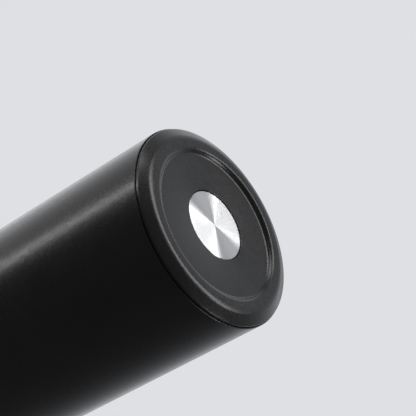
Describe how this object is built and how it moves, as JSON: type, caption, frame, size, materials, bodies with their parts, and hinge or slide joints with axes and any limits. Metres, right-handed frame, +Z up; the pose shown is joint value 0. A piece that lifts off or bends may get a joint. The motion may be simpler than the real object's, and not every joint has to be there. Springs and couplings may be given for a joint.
{
  "type": "vacuum flask",
  "caption": "Straight double-walled vacuum flask with a threaded push-button stopper and a screw-on drinking cup; flat ring base with a recessed centre and a round sunray disc.",
  "frame": {"origin": "centre of the base, on the plane of the flat ring that the flask stands on", "axes": "+Z up along the flask's axis, from the base to the cup; +X towards the pouring lip of the stopper"},
  "size_m": [0.07, 0.07, 0.243],
  "materials": {
    "black_paint": "satin black powder coat",
    "steel": "brushed stainless steel",
    "sunray": "sunray-brushed aluminium",
    "copper": "copper foil",
    "black_plastic": "fine-grained matt black",
    "grey_plastic": "fine-grained matt grey",
    "clear_silicone": "translucent white silicone",
    "black_silicone": "matt black silicone",
    "foam": "expanded white foam",
    "seal_glass": "dark melted glass bead",
    "spring_steel": "drawn spring wire",
    "getter_metal": "pressed grey metal powder",
    "pad_film": "adhesive film"
  },
  "bodies": {
    "flask": {"outer_shell": "black_paint", "neck_sleeve": "steel", "inner_liner": "steel", "liner_bottom": "steel", "vacuum_plate": "steel", "vacuum_seal": "seal_glass", "getter": "getter_metal", "getter_clip": "spring_steel", "heat_foil": "copper", "base_cover": "black_paint", "disc_pad": "pad_film", "base_disc": "sunray"},
    "stopper_seat": {"stopper_gasket": "clear_silicone"},
    "stopper": {"stopper_body": "black_plastic", "stopper_foam": "foam", "foam_cap": "black_plastic", "stopper_cover": "black_plastic", "stem_guide": "grey_plastic", "button_spring": "spring_steel"},
    "button": {"push_button": "grey_plastic", "button_seal": "clear_silicone", "valve_stem": "grey_plastic", "valve_seal": "clear_silicone", "seal_retainer": "grey_plastic"},
    "cup_seat": {"cup_rim_ring": "black_silicone"},
    "cup": {"cup_shell": "black_paint", "cup_liner": "steel", "cup_thread_ring": "black_plastic"}
  },
  "joints": [
    {"name": "cup_rise", "type": "slide", "parent": "flask", "child": "cup_seat", "axis": [0, 0, 1], "range_m": [0, 0.00751]},
    {"name": "cup_unscrew", "type": "hinge", "parent": "cup_seat", "child": "cup", "pos_m": [0, 0, 0.2], "axis": [0, 0, 1], "range_deg": [0, 540]},
    {"name": "stopper_rise", "type": "slide", "parent": "flask", "child": "stopper_seat", "axis": [0, 0, 1], "range_m": [0, 0.00751]},
    {"name": "stopper_unscrew", "type": "hinge", "parent": "stopper_seat", "child": "stopper", "pos_m": [0, 0, 0.2], "axis": [0, 0, 1], "range_deg": [0, 540]},
    {"name": "button_press", "type": "slide", "parent": "stopper", "child": "button", "axis": [0, 0, -1], "range_m": [0, 0.0035], "stiffness_N_per_m": 400, "springref_m": -0.003, "deforming": ["button_spring"]}
  ],
  "couplings": [
    {"joint": "cup_rise", "follows": "cup_unscrew", "m_per_rad": 0.00079577},
    {"joint": "stopper_rise", "follows": "stopper_unscrew", "m_per_rad": 0.00079577}
  ]
}
